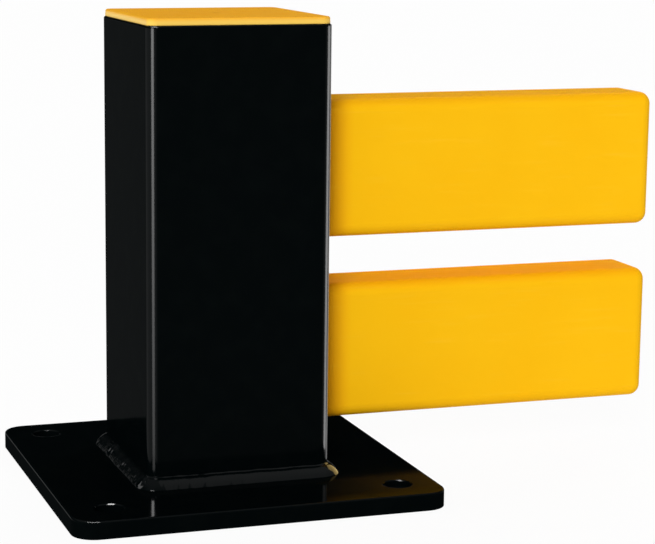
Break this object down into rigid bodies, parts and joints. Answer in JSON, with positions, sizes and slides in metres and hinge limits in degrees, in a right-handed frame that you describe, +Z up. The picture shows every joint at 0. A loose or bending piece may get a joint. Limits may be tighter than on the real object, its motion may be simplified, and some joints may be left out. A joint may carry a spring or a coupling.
{
  "type": "barrier post",
  "caption": "Floor-fixed square steel barrier post with an anchor plate, a moulded cap and short moulded guard rails leaving one side.",
  "frame": {"origin": "middle of the anchor plate's underside, on the post's axis", "axes": "+Z up along the post, +X the way the rails leave the post"},
  "size_m": [0.563, 0.32, 0.406],
  "materials": {
    "black_coating": "glossy black powder coat on steel",
    "yellow_rail": "satin moulded plastic, coloured through",
    "yellow_cap": "semi-gloss moulded plastic, coloured through",
    "bare_steel": "bright drawn bar"
  },
  "bodies": {
    "root": {"base_plate": "black_coating", "post_tube": "black_coating", "foot_weld": "black_coating", "rod_socket": "black_coating", "rod_guide": "black_coating", "locking_rod": "bare_steel", "upper_rail": "yellow_rail", "lower_rail": "yellow_rail", "top_cap": "yellow_cap"}
  },
  "joints": []
}
